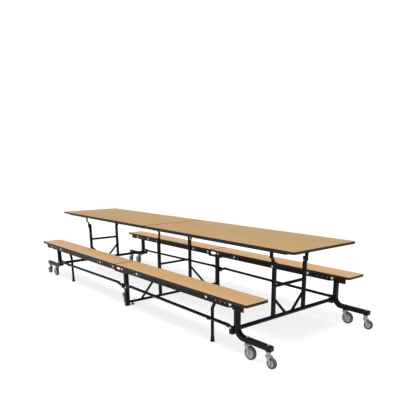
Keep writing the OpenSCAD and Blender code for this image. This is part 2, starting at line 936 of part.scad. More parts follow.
table_top(false);  // table_top_right
table_top(true);  // table_top_left
table_edge(false);  // table_edge_right
table_edge(true);  // table_edge_left
table_rails(false);  // table_rails_right
table_rails(true);  // table_rails_left
table_brackets(false);  // table_brackets_right
table_brackets(true);  // table_brackets_left
seat(false, true);  // seat_near_right
seat(true, true);  // seat_near_left
seat(false, false);  // seat_far_right
seat(true, false);  // seat_far_left
seat_edge(false, true);  // seat_edge_near_right
seat_edge(true, true);  // seat_edge_near_left
seat_edge(false, false);  // seat_edge_far_right
seat_edge(true, false);  // seat_edge_far_left
channels(false, true);  // channels_near_right
channels(true, true);  // channels_near_left
channels(false, false);  // channels_far_right
channels(true, false);  // channels_far_left
bench_bolts(false, true);  // bolts_near_right
bench_bolts(true, true);  // bolts_near_left
bench_bolts(false, false);  // bolts_far_right
bench_bolts(true, false);  // bolts_far_left
stretcher(false, true);  // stretcher_near_right
stretcher(true, true);  // stretcher_near_left
stretcher(false, false);  // stretcher_far_right
stretcher(true, false);  // stretcher_far_left
prop_leg(false);  // prop_leg_right
prop_leg(true);  // prop_leg_left
prop_foot(false);  // prop_foot_right
prop_foot(true);  // prop_foot_left
end_truss(false);  // end_truss_right
end_truss(true);  // end_truss_left
legs(false);  // legs_right
legs(true);  // legs_left
end_hardware(false);  // end_hardware_right
end_hardware(true);  // end_hardware_left
arm_caps(false);  // arm_caps_right
arm_caps(true);  // arm_caps_left
centre_truss();
centre_posts();
centre_feet();
centre_hardware();
caster_fork(false, true, big_stem_x, big_wheel_d);  // fork_inner_near_right
caster_fork(true, true, big_stem_x, big_wheel_d);  // fork_inner_near_left
caster_fork(false, false, big_stem_x, big_wheel_d);  // fork_inner_far_right
caster_fork(true, false, big_stem_x, big_wheel_d);  // fork_inner_far_left
caster_fork(false, true, small_stem_x, small_wheel_d);  // fork_outer_near_right
caster_fork(true, true, small_stem_x, small_wheel_d);  // fork_outer_near_left
caster_fork(false, false, small_stem_x, small_wheel_d);  // fork_outer_far_right
caster_fork(true, false, small_stem_x, small_wheel_d);  // fork_outer_far_left
caster_wheel(false, true, big_stem_x, big_wheel_d);  // wheel_inner_near_right
caster_wheel(true, true, big_stem_x, big_wheel_d);  // wheel_inner_near_left
caster_wheel(false, false, big_stem_x, big_wheel_d);  // wheel_inner_far_right
caster_wheel(true, false, big_stem_x, big_wheel_d);  // wheel_inner_far_left
caster_wheel(false, true, small_stem_x, small_wheel_d);  // wheel_outer_near_right
caster_wheel(true, true, small_stem_x, small_wheel_d);  // wheel_outer_near_left
caster_wheel(false, false, small_stem_x, small_wheel_d);  // wheel_outer_far_right
caster_wheel(true, false, small_stem_x, small_wheel_d);  // wheel_outer_far_left
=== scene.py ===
"""Folding cafeteria table with two attached benches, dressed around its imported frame."""

import logging
import math
from collections.abc import Callable, Iterable
from dataclasses import dataclass, field, replace
from enum import Enum
from functools import wraps

import bmesh
import bpy
from bmesh.types import BMesh
from bpy.types import ID, Material, Mesh, Node, NodeSocket, NodeTree, Object
from mathutils import Matrix, Vector


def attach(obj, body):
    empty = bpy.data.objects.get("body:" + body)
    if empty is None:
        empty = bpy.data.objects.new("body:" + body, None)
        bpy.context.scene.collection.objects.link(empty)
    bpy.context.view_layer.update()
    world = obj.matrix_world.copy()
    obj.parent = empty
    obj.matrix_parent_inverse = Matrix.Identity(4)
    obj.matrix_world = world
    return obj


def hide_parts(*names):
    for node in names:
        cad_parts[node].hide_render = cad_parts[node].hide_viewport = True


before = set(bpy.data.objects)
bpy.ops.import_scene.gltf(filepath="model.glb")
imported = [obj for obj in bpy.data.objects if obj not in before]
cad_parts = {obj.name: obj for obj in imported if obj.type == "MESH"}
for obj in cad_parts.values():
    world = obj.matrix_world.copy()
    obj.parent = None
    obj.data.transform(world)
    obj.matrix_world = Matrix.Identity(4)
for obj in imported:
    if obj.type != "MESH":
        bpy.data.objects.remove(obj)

LOG = logging.getLogger("cafeteria_table")
MM = 0.001

Tone = tuple[int, int, int]
Section = list[tuple[float, float]]
Layers = tuple[NodeSocket, NodeSocket, NodeSocket]


class Choice(Enum):
    """A named option that the frame's node and body names spell out."""

    @property
    def word(self) -> str:
        """The option's word in those names."""
        return self.name.lower()


class Half(Choice):
    """The two table halves, with the sign of their X."""

    RIGHT = 1
    LEFT = -1


class Side(Choice):
    """The two long sides, with the sign of their Y."""

    NEAR = -1
    FAR = 1


class Row(Choice):
    """The two casters on a foot arm, with the X of their stems."""

    INNER = 1.633
    OUTER = 1.829


# Node graphs


def live(sockets: Iterable[NodeSocket], name: str | None = None) -> NodeSocket:
    """The first socket in use, or the first of them with a name."""
    return next(s for s in sockets if s.enabled and name in (None, s.name))


class Graph:
    """A node tree with short calls for adding nodes and joining their sockets."""

    def __init__(self, tree: NodeTree) -> None:
        """Takes the tree to build in.

        Args:
            tree: A material's, group's or modifier's node tree.
        """
        self.tree = tree

    def add(self, kind: str, settings: dict | None = None, *values: object, **inputs: object) -> Node:
        """Adds a node and fills its sockets, each with a plain value or with a socket to join.

        Args:
            kind: The node's Blender type.
            settings: Properties of the node itself.
            values: What goes to its first inputs, in order.
            inputs: What goes to other inputs, by socket name with _ for a space.

        Returns:
            The new node.
        """
        node = self.tree.nodes.new(kind)
        for name, value in (settings or {}).items():
            setattr(node, name, value)
        for index, value in enumerate(values):
            self.feed(node.inputs[index], value)
        for name, value in inputs.items():
            self.feed(live(node.inputs, name.replace("_", " ")), value)
        return node

    def out(self, kind: str, settings: dict | None = None, *values: object, **inputs: object) -> NodeSocket:
        """Adds a node as add does, and returns its first live output."""
        return live(self.add(kind, settings, *values, **inputs).outputs)

    def feed(self, socket: NodeSocket, value: object) -> None:
        """Sets an input socket, or joins another socket to it.

        Args:
            socket: The input.
            value: A plain value, or an output socket.
        """
        if isinstance(value, NodeSocket):
            self.tree.links.new(value, socket)
        else:
            socket.default_value = value

    def math(self, operation: str, a: object, b: object) -> NodeSocket:
        """Adds a Math node and returns its result."""
        return self.out("ShaderNodeMath", {"operation": operation}, a, b)

    def mix(self, share: object, a: object, b: object) -> NodeSocket:
        """Mixes a share of colour b into colour a and returns the result."""
        return self.out("ShaderNodeMix", {"data_type": "RGBA"}, Factor=share, A=a, B=b)

    def ramp(self, value: object, low: float, high: float, out_low: float = 0.0,
             out_high: float = 1.0) -> NodeSocket:
        """Maps a value from one range to another and clamps it.

        Args:
            value: The value or socket to map.
            low: Where the input range starts.
            high: Where the input range ends.
            out_low: What the start maps to.
            out_high: What the end maps to.

        Returns:
            The mapped value.
        """
        return self.out("ShaderNodeMapRange", Value=value, From_Min=low, From_Max=high, To_Min=out_low,
                        To_Max=out_high)

    def noise(self, vector: NodeSocket, scale: object, detail: float = 3.0,
              rough: float = 0.5) -> NodeSocket:
        """Adds a noise texture.

        Args:
            vector: Where to read the noise.
            scale: The noise's scale, as a value or socket.
            detail: How many finer layers it has.
            rough: How strong the finer layers are.

        Returns:
            The noise value.
        """
        return self.out("ShaderNodeTexNoise", Vector=vector, Scale=scale, Detail=detail, Roughness=rough)

    def stretched(self, vector: NodeSocket, scale: tuple) -> NodeSocket:
        """Scales a vector by a factor along each axis."""
        return self.out("ShaderNodeMapping", Vector=vector, Scale=scale)

    def group(self, tree: NodeTree, **inputs: object) -> Node:
        """Places a shader node group and fills its inputs."""
        return self.add("ShaderNodeGroup", {"node_tree": tree}, **inputs)


def linear(red: int, green: int, blue: int) -> tuple[float, float, float, float]:
    """Turns a screen colour into the linear colour that shaders take.

    Args:
        red: Red from 0 to 255.
        green: Green from 0 to 255.
        blue: Blue from 0 to 255.

    Returns:
        The linear colour with full alpha.
    """
    steps = [c / 255 for c in (red, green, blue)]
    return (*(s / 12.92 if s <= 0.04045 else ((s + 0.055) / 1.055) ** 2.4 for s in steps), 1.0)


VECTOR_NAMES = ("Vector", "Normal")


def shader_group(name: str, inputs: Iterable[str], outputs: Iterable[str]) -> Callable:
    """Turns a function that fills a shader node group into one that gives the group, built once.

    Args:
        name: The group's name.
        inputs: Its input names, of which those in VECTOR_NAMES take a vector and the others a value.
        outputs: Its output names, all of them values.

    Returns:
        The decorator.
    """
    def decorate(fill: Callable[[Graph, dict], tuple]) -> Callable[[], NodeTree]:
        """Takes the function that fills the group.

        Args:
            fill: Takes the group's graph and its input sockets, and returns what goes to the outputs.

        Returns:
            A function that gives the group's tree.
        """
        @wraps(fill)
        def group() -> NodeTree:
            """Builds the group at its first use.

            Returns:
                Its tree.
            """
            if name in bpy.data.node_groups:
                return bpy.data.node_groups[name]
            tree = bpy.data.node_groups.new(name, "ShaderNodeTree")
            for label in inputs:
                kind = "NodeSocketVector" if label in VECTOR_NAMES else "NodeSocketFloat"
                tree.interface.new_socket(label, in_out="INPUT", socket_type=kind)
            for label in outputs:
                tree.interface.new_socket(label, in_out="OUTPUT", socket_type="NodeSocketFloat")
            graph = Graph(tree)
            entry = graph.add("NodeGroupInput")
            leave = graph.add("NodeGroupOutput")
            for label, value in zip(outputs, fill(graph, {s.name: s for s in entry.outputs if s.name})):
                graph.feed(leave.inputs[label], value)
            return tree
        return group
    return decorate


@shader_group("wood grain", ("Vector", "Scale"), ("Tint", "Pore"))
def grain_group(graph: Graph, inputs: dict) -> tuple:
    """The printed wood grain: long fine streaks, broad bands and short dark pores along X.

    Args:
        graph: The group's graph.
        inputs: The group's input sockets by name.

    Returns:
        The tint and the pores.
    """
    vector, scale = inputs["Vector"], inputs["Scale"]
    wave = graph.noise(graph.stretched(vector, (0.9, 5.0, 5.0)), scale, 2.0)
    across = graph.out("ShaderNodeCombineXYZ", Y=wave, Z=wave)
    along = graph.out("ShaderNodeVectorMath", {"operation": "MULTIPLY_ADD"}, across, (0.0, 0.012, 0.012),
                      vector)
    streak = graph.noise(graph.stretched(along, (1.6, 75.0, 75.0)), scale, 5.0, 0.62)
    broad = graph.noise(graph.stretched(along, (0.5, 9.0, 9.0)), scale, 3.0)
    pore = graph.noise(graph.stretched(along, (14.0, 420.0, 420.0)), scale, 2.0)
    tint = graph.math("ADD", graph.math("MULTIPLY", streak, 0.62), graph.math("MULTIPLY", broad, 0.38))
    return graph.ramp(tint, 0.34, 0.66), graph.ramp(pore, 0.60, 0.74)


@shader_group("fine skin", ("Vector", "Fine Scale", "Patch Scale"), ("Height", "Patch"))
def skin_group(graph: Graph, inputs: dict) -> tuple:
    """A fine rough skin with soft broad patches, for coated metal, rubber and plastic.

    Args:
        graph: The group's graph.
        inputs: The group's input sockets by name.

    Returns:
        The height and the patches.
    """
    patch = graph.noise(inputs["Vector"], inputs["Patch Scale"], 4.0, 0.6)
    return graph.noise(inputs["Vector"], inputs["Fine Scale"], 2.0, 0.6), graph.ramp(patch, 0.35, 0.65)


@shader_group("edge wear", ("Vector", "Edge", "Amount"), ("Mask",))
def wear_group(graph: Graph, inputs: dict) -> tuple:
    """Rubbed edges, from the mesh's own edge attribute, broken up by noise.

    Args:
        graph: The group's graph.
        inputs: The group's input sockets by name.

    Returns:
        The mask alone.
    """
    spots = graph.ramp(graph.noise(inputs["Vector"], 55.0, 4.0, 0.65), 0.42, 0.62)
    return (graph.math("MULTIPLY", graph.math("MULTIPLY", inputs["Edge"], spots), inputs["Amount"]),)


@shader_group("top dust", ("Vector", "Normal", "Amount"), ("Mask",))
def dust_group(graph: Graph, inputs: dict) -> tuple:
    """Thin dust on what faces up.

    Args:
        graph: The group's graph.
        inputs: The group's input sockets by name.

    Returns:
        The mask alone.
    """
    up = graph.ramp(graph.add("ShaderNodeSeparateXYZ", Vector=inputs["Normal"]).outputs["Z"], 0.55, 1.0)
    cloud = graph.ramp(graph.noise(inputs["Vector"], 9.0, 6.0, 0.65), 0.38, 0.75)
    return (graph.math("MULTIPLY", graph.math("MULTIPLY", up, cloud), inputs["Amount"]),)


EDGE_ATTRIBUTE = "edge"
DUST_COLOR = (150, 146, 138)


@dataclass(frozen=True)
class Ground:
    """What a finish is laid on: a material's graph, object coordinates and the object's own normal."""

    graph: Graph
    vector: NodeSocket
    normal: NodeSocket


@dataclass(frozen=True)
class Finish:
    """A surface finish: its colours and gloss, and the marks of its making and use."""

    name: str
    slot: str
    base: Tone
    second: Tone
    roughness: float
    gloss_spread: float = 0.08
    metallic: float = 0.0
    specular: float = 0.5
    fine_scale: float = 900.0
    patch_scale: float = 7.0
    bump: float = 0.12
    bump_depth: float = 0.0003
    wear_color: Tone = (96, 96, 96)
    wear: float = 0.0
    dust: float = 0.0

    def material(self) -> Material:
        """Builds the finish once.

        Returns:
            Its material.
        """
        if self.name in bpy.data.materials:
            return bpy.data.materials[self.name]
        material = bpy.data.materials.new(self.name)
        material.use_nodes = True
        material.diffuse_color = linear(*self.base)
        graph = Graph(material.node_tree)
        place = graph.add("ShaderNodeTexCoord")
        color, rough, height = self.layers(Ground(graph, place.outputs["Object"], place.outputs["Normal"]))
        bump = graph.out("ShaderNodeBump", Strength=self.bump, Distance=self.bump_depth, Height=height)
        shader = material.node_tree.nodes["Principled BSDF"]
        for label, value in (("Metallic", self.metallic), ("Specular IOR Level", self.specular),
                             ("Base Color", color), ("Roughness", rough), ("Normal", bump)):
            graph.feed(shader.inputs[label], value)
        return material

    def skin(self, ground: Ground) -> Node:
        """Adds the fine skin at the finish's own scales."""
        return ground.graph.group(skin_group(), Vector=ground.vector, Fine_Scale=self.fine_scale,
                                  Patch_Scale=self.patch_scale)

    def gloss(self, graph: Graph, patch: NodeSocket) -> NodeSocket:
        """Spreads the roughness over the patches."""
        return graph.ramp(patch, 0.0, 1.0, self.roughness - self.gloss_spread,
                          self.roughness + self.gloss_spread)

    def layers(self, ground: Ground) -> Layers:
        """Makes what the shader shows.

        Args:
            ground: What the finish is laid on.

        Returns:
            The colour, the roughness and the bump's height.
        """
        skin = self.skin(ground)
        color = ground.graph.mix(skin.outputs["Patch"], linear(*self.base), linear(*self.second))
        return *self.aged(ground, color, skin.outputs["Patch"]), skin.outputs["Height"]

    def aged(self, ground: Ground, color: NodeSocket, patch: NodeSocket) -> tuple[NodeSocket, NodeSocket]:
        """Adds rubbed edges and dust to a colour.

        Args:
            ground: What the finish is laid on.
            color: The clean colour.
            patch: The broad patches that vary the gloss.

        Returns:
            The aged colour and its roughness.
        """
        graph, rough = ground.graph, self.gloss(ground.graph, patch)
        if self.wear:
            edge = graph.add("ShaderNodeAttribute", {"attribute_name": EDGE_ATTRIBUTE})
            worn = graph.group(wear_group(), Vector=ground.vector, Edge=edge.outputs["Fac"], Amount=self.wear)
            color = graph.mix(worn.outputs["Mask"], color, linear(*self.wear_color))
        if self.dust:
            veil = graph.group(dust_group(), Vector=ground.vector, Normal=ground.normal, Amount=self.dust)
            color = graph.mix(veil.outputs["Mask"], color, linear(*DUST_COLOR))
            rough = graph.math("MAXIMUM", rough, graph.math("MULTIPLY", veil.outputs["Mask"], 0.9))
        return color, rough


@dataclass(frozen=True)
class Laminate(Finish):
    """Wood-print laminate on its board, with painted shade on the faces that point down."""

    pore_color: Tone = (160, 122, 78)
    # Painted shade: the dark colour put on the board's downward faces, standing in for the shade under the
    # board.
    backer: Tone = (92, 78, 66)
    grain_scale: float = 1.0

    def layers(self, ground: Ground) -> Layers:
        """Makes the printed grain, and darkens the faces that point down with a painted shade colour.

        Args:
            ground: What the finish is laid on.

        Returns:
            The colour, the roughness and the bump's height.
        """
        graph, skin = ground.graph, self.skin(ground)
        grain = graph.group(grain_group(), Vector=ground.vector, Scale=self.grain_scale)
        wood = graph.mix(grain.outputs["Tint"], linear(*self.second), linear(*self.base))
        wood = graph.mix(graph.math("MULTIPLY", grain.outputs["Pore"], 0.35), wood, linear(*self.pore_color))
        # Painted shade: faces that point down take a dark colour in place of the grain, standing in for the
        # shade under the board.
        height = graph.add("ShaderNodeSeparateXYZ", Vector=ground.normal).outputs["Z"]
        color = graph.mix(graph.ramp(height, -0.6, -0.4, 1.0, 0.0), wood, linear(*self.backer))
        relief = graph.math("SUBTRACT", graph.math("MULTIPLY", skin.outputs["Height"], 0.5),
                            graph.math("MULTIPLY", grain.outputs["Pore"], 0.8))
        return color, self.gloss(graph, skin.outputs["Patch"]), relief


@dataclass(frozen=True)
class ZincPlate(Finish):
    """Bright zinc with the faint drawn lines of turned and pressed steel."""

    def layers(self, ground: Ground) -> Layers:
        """Makes patches of tone and fine drawn lines.

        Args:
            ground: What the finish is laid on.

        Returns:
            The colour, the roughness and the bump's height.
        """
        graph = ground.graph
        lines = graph.noise(graph.stretched(ground.vector, (60.0, 60.0, 900.0)), 1.0, 2.0)
        tone = graph.math("ADD", self.skin(ground).outputs["Patch"], lines)
        color = graph.mix(graph.math("MULTIPLY", tone, 0.5), linear(*self.base), linear(*self.second))
        return *self.aged(ground, color, lines), lines


TABLE_LAMINATE = Laminate("table laminate", "laminate", (203, 167, 113), (192, 155, 100), 0.45,
                          specular=0.15, bump=0.2, bump_depth=0.0002, fine_scale=700.0, patch_scale=2.5)
BENCH_LAMINATE = Laminate("bench laminate", "laminate", (230, 188, 134), (218, 174, 120), 0.45,
                          specular=0.15, bump=0.2, bump_depth=0.0002, fine_scale=700.0, patch_scale=2.5,
                          grain_scale=1.15)
POWDER_COAT = Finish("black powder coat", "black_steel", (8, 8, 9), (11, 11, 12), 0.36,
                     specular=0.12, wear=0.3, wear_color=(58, 58, 59), dust=0.02, bump=0.35,
                     fine_scale=1300.0)
EDGE_VINYL = Finish("black edge band", "edge_band", (34, 34, 36), (42, 42, 44), 0.5,
                    specular=0.2, wear=0.2, wear_color=(66, 66, 66), bump=0.25, fine_scale=1600.0)
ZINC = ZincPlate("bright zinc", "zinc", (214, 214, 216), (232, 232, 232), 0.34, metallic=0.7,
                 gloss_spread=0.1, patch_scale=60.0, bump=0.15)
PRESSED_ZINC = ZincPlate("pressed zinc", "zinc", (146, 146, 148), (166, 166, 167), 0.34, metallic=0.85,
                         gloss_spread=0.1, patch_scale=45.0, bump=0.2)
TYRE_RUBBER = Finish("grey tread", "grey_tyre", (86, 86, 88), (98, 98, 99), 0.68,
                     specular=0.35, dust=0.25, bump=0.4, fine_scale=900.0, patch_scale=30.0)
HUB_PLASTIC = Finish("light grey hub", "grey_tyre", (206, 206, 208), (216, 216, 217), 0.45,
                     bump=0.2, patch_scale=40.0)
BLACK_RUBBER = Finish("black rubber", "black_rubber", (22, 22, 23), (30, 30, 31), 0.75,
                      specular=0.25, dust=0.12, bump=0.45, patch_scale=40.0)
BLACK_PLASTIC = Finish("black plastic", "black_plastic", (20, 20, 21), (26, 26, 27), 0.5,
                       specular=0.3, bump=0.25, patch_scale=40.0, dust=0.06)


# Meshes

SHARP_ANGLE = math.radians(38)
FLAT_ANGLE = math.radians(0.5)
WELD_DISTANCE = 0.01 * MM
SOFT_EDGE = 1.2 * MM
X_AXIS, Y_AXIS, Z_AXIS = Vector((1, 0, 0)), Vector((0, 1, 0)), Vector((0, 0, 1))
DOWN = Vector((0, 0, -1))


def shown(name: str, data: ID) -> Object:
    """Links a mesh, a camera or a lamp to the scene as an object at the origin.

    Args:
        name: The object's name.
        data: What it shows.

    Returns:
        The new object.
    """
    piece = bpy.data.objects.new(name, data)
    bpy.context.scene.collection.objects.link(piece)
    return piece


def piece_from(name: str, work: BMesh, finish: Finish) -> Object:
    """Turns a worked mesh into a smooth-shaded object with its finish.

    Args:
        name: The piece's name.
        work: The mesh to use up.
        finish: The piece's finish.

    Returns:
        The new object at the origin.
    """
    work.normal_update()
    for edge in work.edges:
        edge.smooth = len(edge.link_faces) == 2 and edge.calc_face_angle(0.0) < SHARP_ANGLE
    for face in work.faces:
        face.smooth = True
    mesh = bpy.data.meshes.new(name)
    work.to_mesh(mesh)
    work.free()
    mesh.materials.append(finish.material())
    return shown(name, mesh)


def settle(piece: Object) -> Object:
    """Turns a piece's evaluated shape into its plain mesh and takes its modifiers off.

    Args:
        piece: The piece with live modifiers.

    Returns:
        The same object with a plain mesh.
    """
    bpy.context.view_layer.update()
    graph = bpy.context.evaluated_depsgraph_get()
    mesh = bpy.data.meshes.new_from_object(piece.evaluated_get(graph), depsgraph=graph)
    piece.modifiers.clear()
    piece.data = mesh
    return piece


def hand_over(piece: Object, body: str, finish: Finish, *nodes: str) -> None:
    """Lets a finished piece ride on its body and stand for the nodes that it replaces.

    Args:
        piece: The finished piece.
        body: The body it moves with.
        finish: Not used.
        nodes: The CAD nodes it stands for.
    """
    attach(piece, body)
    if nodes:
        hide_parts(*nodes)
    LOG.info("%s rides on %s", piece.name, body)


def mirrored(work: BMesh, half: Half, side: Side) -> BMesh:
    """Mirrors a mesh made for the right half's far side to another half and side.

    Args:
        work: The mesh to change.
        half: The half it goes to.
        side: The side it goes to.

    Returns:
        The same mesh with its faces pointing out.
    """
    bmesh.ops.scale(work, vec=(half.value, side.value, 1.0), verts=work.verts)
    if half.value * side.value < 0:
        bmesh.ops.reverse_faces(work, faces=work.faces)
    return work


def ring_points(center: Vector, u: Vector, v: Vector, a: float, b: float, steps: int = 28) -> list[Vector]:
    """Points on an ellipse.

    Args:
        center: Its centre.
        u: The unit direction of its first half axis.
        v: The unit direction of its second half axis.
        a: The first half axis.
        b: The second half axis.
        steps: How many points it has.

    Returns:
        The points.
    """
    angles = (2 * math.pi * i / steps for i in range(steps))
    return [center + u * (a * math.cos(t)) + v * (b * math.sin(t)) for t in angles]


def bridge(work: BMesh, rings: list[list]) -> None:
    """Makes the walls between neighbouring rings, and points out all faces.

    Args:
        work: The mesh to add to.
        rings: Its rings of vertices, of equal counts; a pole is one vertex repeated.
    """
    for low, high in zip(rings, rings[1:]):
        for i, j in zip(range(len(low)), [*range(1, len(low)), 0]):
            corners = list(dict.fromkeys((low[i], low[j], high[j], high[i])))
            if len(corners) > 2:
                work.faces.new(corners)
    bmesh.ops.recalc_face_normals(work, faces=work.faces)


def revolve(profile: Section, steps: int, work: BMesh | None = None) -> BMesh:
    """Turns a profile round the Z axis.

    Args:
        profile: Radius and height of each point, from one end to the other.
        steps: How many faces go round.
        work: A mesh to add it to.

    Returns:
        The closed mesh.
    """
    work = bmesh.new() if work is None else work
    rings = []
    for radius, height in profile:
        if rings and (radius, height) == profile[0]:
            rings.append(rings[0])
        elif radius == 0:
            rings.append([work.verts.new((0, 0, height))] * steps)
        else:
            circle = ring_points(Z_AXIS * height, X_AXIS, Y_AXIS, radius, radius, steps)
            rings.append([work.verts.new(point) for point in circle])
    bridge(work, rings)
    return work


def arc(center: tuple[float, float], radius: float, start: float, end: float, steps: int) -> Section:
    """Points on an arc.

    Args:
        center: The arc's centre.
        radius: Its radius.
        start: Its first angle in degrees.
        end: Its last angle in degrees.
        steps: How many stretches it has.

    Returns:
        The points as pairs.
    """
    angles = [math.radians(start + (end - start) * i / steps) for i in range(steps + 1)]
    return [(center[0] + radius * math.cos(a), center[1] + radius * math.sin(a)) for a in angles]


def mark_edges(mesh: Mesh, width: float) -> None:
    """Writes the attribute that says where a bevelled edge is, for the rubbed finish.

    Args:
        mesh: The bevelled mesh.
        width: The bevel's width.
    """
    work = bmesh.new()
    work.from_mesh(mesh)
    narrow = {f.index for f in work.faces if 2 * f.calc_area() < f.calc_perimeter() * width * 0.8}
    values = [1.0 if v.link_faces and all(f.index in narrow for f in v.link_faces) else 0.0
              for v in work.verts]
    work.free()
    attribute = mesh.attributes.new(EDGE_ATTRIBUTE, "FLOAT", "POINT")
    attribute.data.foreach_set("value", values)


def soften(node: str, body: str, finish: Finish, width: float = SOFT_EDGE) -> None:
    """Puts a copy of a CAD node on its body, edges rounded as bent, sawn or moulded stock has them.

    Args:
        node: The CAD node.
        body: The body it moves with.
        finish: The copy's finish.
        width: How far the rounding reaches from each edge.
    """
    work = bmesh.new()
    work.from_mesh(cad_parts[node].data)
    bmesh.ops.remove_doubles(work, verts=work.verts, dist=WELD_DISTANCE)
    bmesh.ops.dissolve_limit(work, angle_limit=FLAT_ANGLE, verts=work.verts, edges=work.edges)
    piece = piece_from(f"{node}_body", work, finish)
    bevel = piece.modifiers.new("rounded edges", "BEVEL")
    bevel.width = width
    bevel.segments = 2
    bevel.limit_method = "ANGLE"
    bevel.angle_limit = SHARP_ANGLE
    bevel.use_clamp_overlap = True
    bevel.miter_outer = "MITER_ARC"
    shading = piece.modifiers.new("even shading", "WEIGHTED_NORMAL")
    shading.keep_sharp = False
    settle(piece)
    mark_edges(piece.data, width)
    hand_over(piece, body, finish, node)


# Geometry node trees

AIM_ATTRIBUTE = "aim"
SPIN_SEED = 7


class Growth:
    """A Geometry Nodes tree that grows a piece on a carrier mesh."""

    NAME = ""
    INPUTS: dict[str, str] = {}

    def fill(self, graph: Graph, inputs: dict) -> NodeSocket:
        """Makes the geometry, in each kind of growth's own way.

        Args:
            graph: The tree's graph.
            inputs: The tree's input sockets by name.

        Returns:
            The geometry.
        """
        raise NotImplementedError

    def tree(self) -> NodeTree:
        """Builds the tree once.

        Returns:
            The tree.
        """
        if self.NAME in bpy.data.node_groups:
            return bpy.data.node_groups[self.NAME]
        tree = bpy.data.node_groups.new(self.NAME, "GeometryNodeTree")
        sockets = {"Geometry": "NodeSocketGeometry", **self.INPUTS, "Material": "NodeSocketMaterial"}
        for label, kind in sockets.items():
            tree.interface.new_socket(label, in_out="INPUT", socket_type=kind)
        tree.interface.new_socket("Geometry", in_out="OUTPUT", socket_type="NodeSocketGeometry")
        graph = Graph(tree)
        inputs = {s.name: s for s in graph.add("NodeGroupInput").outputs if s.name}
        real = graph.out("GeometryNodeRealizeInstances", Geometry=self.fill(graph, inputs))
        dressed = graph.out("GeometryNodeSetMaterial", Geometry=real, Material=inputs["Material"])
        graph.add("NodeGroupOutput", Geometry=dressed)
        return tree

    def grow(self, carrier: Mesh, **values: object) -> Object:
        """Grows on a carrier mesh and turns the result into a plain mesh.

        Args:
            carrier: The points or edges to grow on, with the piece's name.
            values: Input values by socket name, set by the sockets' identifiers.

        Returns:
            The finished piece.
        """
        piece = shown(carrier.name, carrier)
        modifier = piece.modifiers.new(self.NAME, "NODES")
        modifier.node_group = self.tree()
        for item in modifier.node_group.interface.items_tree:
            if item.item_type == "SOCKET" and item.in_out == "INPUT" and item.name in values:
                modifier[item.identifier] = values[item.name]
        return settle(piece)


class FastenerField(Growth):
    """Sets one fastener on every point of a carrier, each turned a little at random."""

    NAME = "fastener field"
    INPUTS = {"Fastener": "NodeSocketObject", "Spin": "NodeSocketFloat", "Seed": "NodeSocketInt"}

    def fill(self, graph: Graph, inputs: dict) -> NodeSocket:
        """Aims, turns and places the fasteners.

        Args:
            graph: The tree's graph.
            inputs: The tree's input sockets by name.

        Returns:
            The geometry.
        """
        shape = graph.add("GeometryNodeObjectInfo", Object=inputs["Fastener"]).outputs["Geometry"]
        aim = graph.out("GeometryNodeInputNamedAttribute", {"data_type": "FLOAT_VECTOR"}, Name=AIM_ATTRIBUTE)
        aimed = graph.out("FunctionNodeAlignRotationToVector", {"axis": "Z"}, Vector=aim)
        turn = graph.out("FunctionNodeRandomValue", {"data_type": "FLOAT"}, Max=inputs["Spin"],
                         Seed=inputs["Seed"])
        spin = graph.out("FunctionNodeAxisAngleToRotation", Axis=(0.0, 0.0, 1.0), Angle=turn)
        both = graph.out("FunctionNodeRotateRotation", {"rotation_space": "LOCAL"}, Rotation=aimed,
                         Rotate_By=spin)
        return graph.out("GeometryNodeInstanceOnPoints", Points=inputs["Geometry"], Instance=shape,
                         Rotation=both)

    def build(self, name: str, head: BMesh, places: Iterable[tuple[Vector, Vector]], body: str,
              *nodes: str, finish: Finish = ZINC, spin: float = math.pi) -> None:
        """Makes the field as a plain mesh and puts it on its body.

        Args:
            name: The piece's name.
            head: The fastener's mesh, pointing along +Z, used up here.
            places: Each fastener's place and the way it points.
            body: The body it moves with.
            nodes: The CAD nodes it stands for.
            finish: Its finish.
            spin: The most that a fastener is turned about its own axis.
        """
        pattern = piece_from(f"{name}_pattern", head, finish)
        carrier = bpy.data.meshes.new(name)
        places = list(places)
        carrier.from_pydata([p for p, _ in places], [], [])
        aims = carrier.attributes.new(AIM_ATTRIBUTE, "FLOAT_VECTOR", "POINT")
        aims.data.foreach_set("vector", [c for _, aim in places for c in aim])
        piece = self.grow(carrier, Fastener=pattern, Spin=spin, Seed=SPIN_SEED, Material=finish.material())
        if AIM_ATTRIBUTE in piece.data.attributes:
            piece.data.attributes.remove(piece.data.attributes[AIM_ATTRIBUTE])
        bpy.data.objects.remove(pattern)
        hand_over(piece, body, finish, *nodes)


